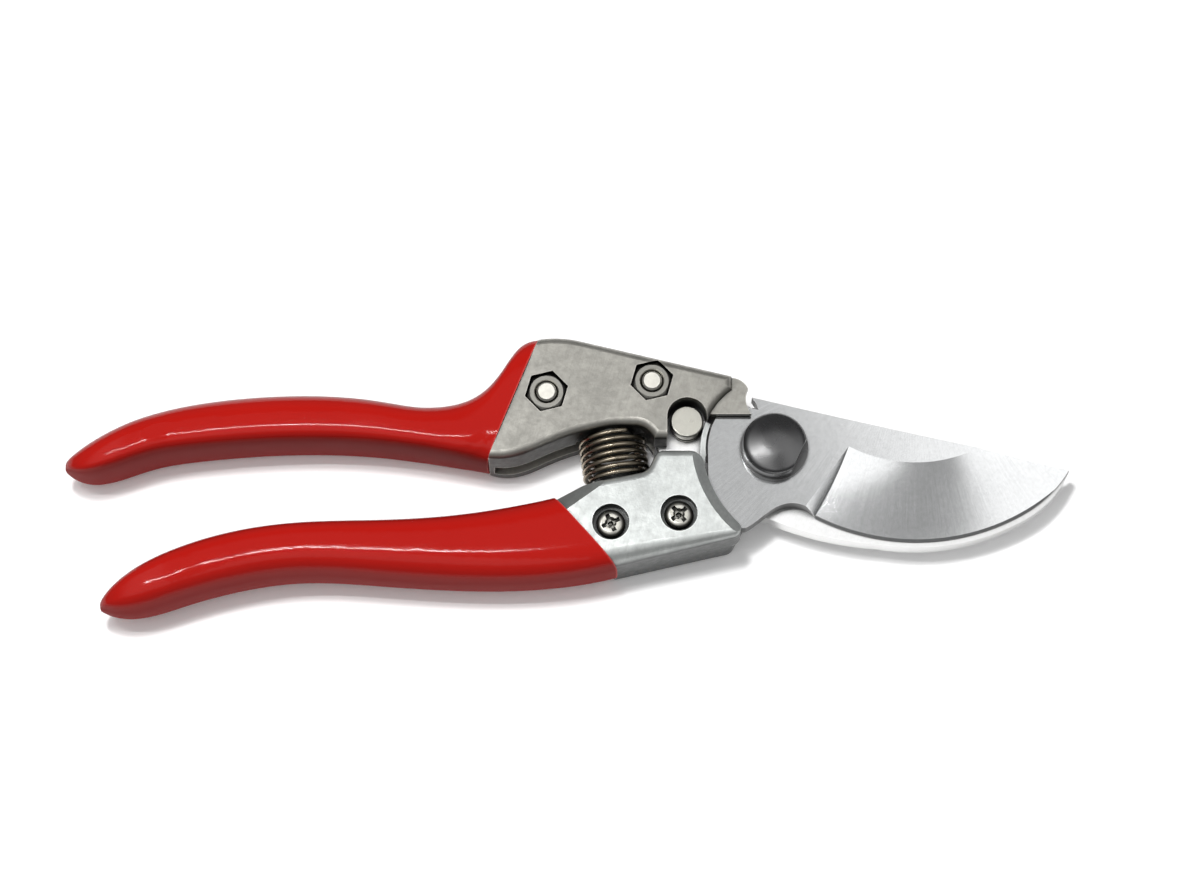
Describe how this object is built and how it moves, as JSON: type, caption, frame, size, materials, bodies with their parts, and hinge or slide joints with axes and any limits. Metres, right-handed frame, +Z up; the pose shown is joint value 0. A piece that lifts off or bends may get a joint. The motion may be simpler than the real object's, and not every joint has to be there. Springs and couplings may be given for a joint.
{
  "type": "pruning shears",
  "caption": "Bypass hand pruner with a hollow ground blade, a hooked counter blade, vinyl dipped cast handles, a coil return spring and a push lock.",
  "frame": {"origin": "on the pivot axis, on the surface that the shears lie on", "axes": "+X from the grips to the blade tips, +Y across the handles towards the counter blade's handle, +Z up along the pivot to its domed head"},
  "size_m": [0.2014, 0.0566, 0.0164],
  "materials": {
    "upper_casting": "satin tumbled casting",
    "lower_casting": "satin tumbled casting",
    "vinyl": "glossy red dipped vinyl",
    "cutting_blade_steel": "ground and polished",
    "counter_blade_steel": "ground",
    "black_steel": "black polished",
    "pivot_hardware": "plain steel",
    "zinc_hardware": "zinc plated",
    "spring_wire": "dark oiled spring wire",
    "lock_steel": "bright turned",
    "o_ring_rubber": "matt"
  },
  "bodies": {
    "cutting_half": {"lower_handle": "lower_casting", "lower_grip": "vinyl", "cutting_blade": "cutting_blade_steel", "pivot_bolt": "black_steel", "pivot_washer": "pivot_hardware", "pivot_nut": "pivot_hardware", "cutting_blade_screw_1": "zinc_hardware", "cutting_blade_screw_2": "zinc_hardware", "cutting_blade_nut_1": "zinc_hardware", "cutting_blade_nut_2": "zinc_hardware", "return_spring": "spring_wire"},
    "counter_half": {"upper_handle": "upper_casting", "upper_grip": "vinyl", "counter_blade": "counter_blade_steel", "counter_blade_screw_1": "zinc_hardware", "counter_blade_screw_2": "zinc_hardware", "counter_blade_nut_1": "zinc_hardware", "counter_blade_nut_2": "zinc_hardware"},
    "lock": {"lock_button": "lock_steel", "lock_o_ring": "o_ring_rubber"}
  },
  "joints": [
    {"name": "blade_pivot", "type": "hinge", "parent": "cutting_half", "child": "counter_half", "pos_m": [0, 0, 0], "axis": [0, 0, -1], "range_deg": [0, 28], "deforming": ["return_spring"]},
    {"name": "lock_push", "type": "slide", "parent": "counter_half", "child": "lock", "axis": [0, 0, -1], "range_m": [0, 0.0024]}
  ]
}
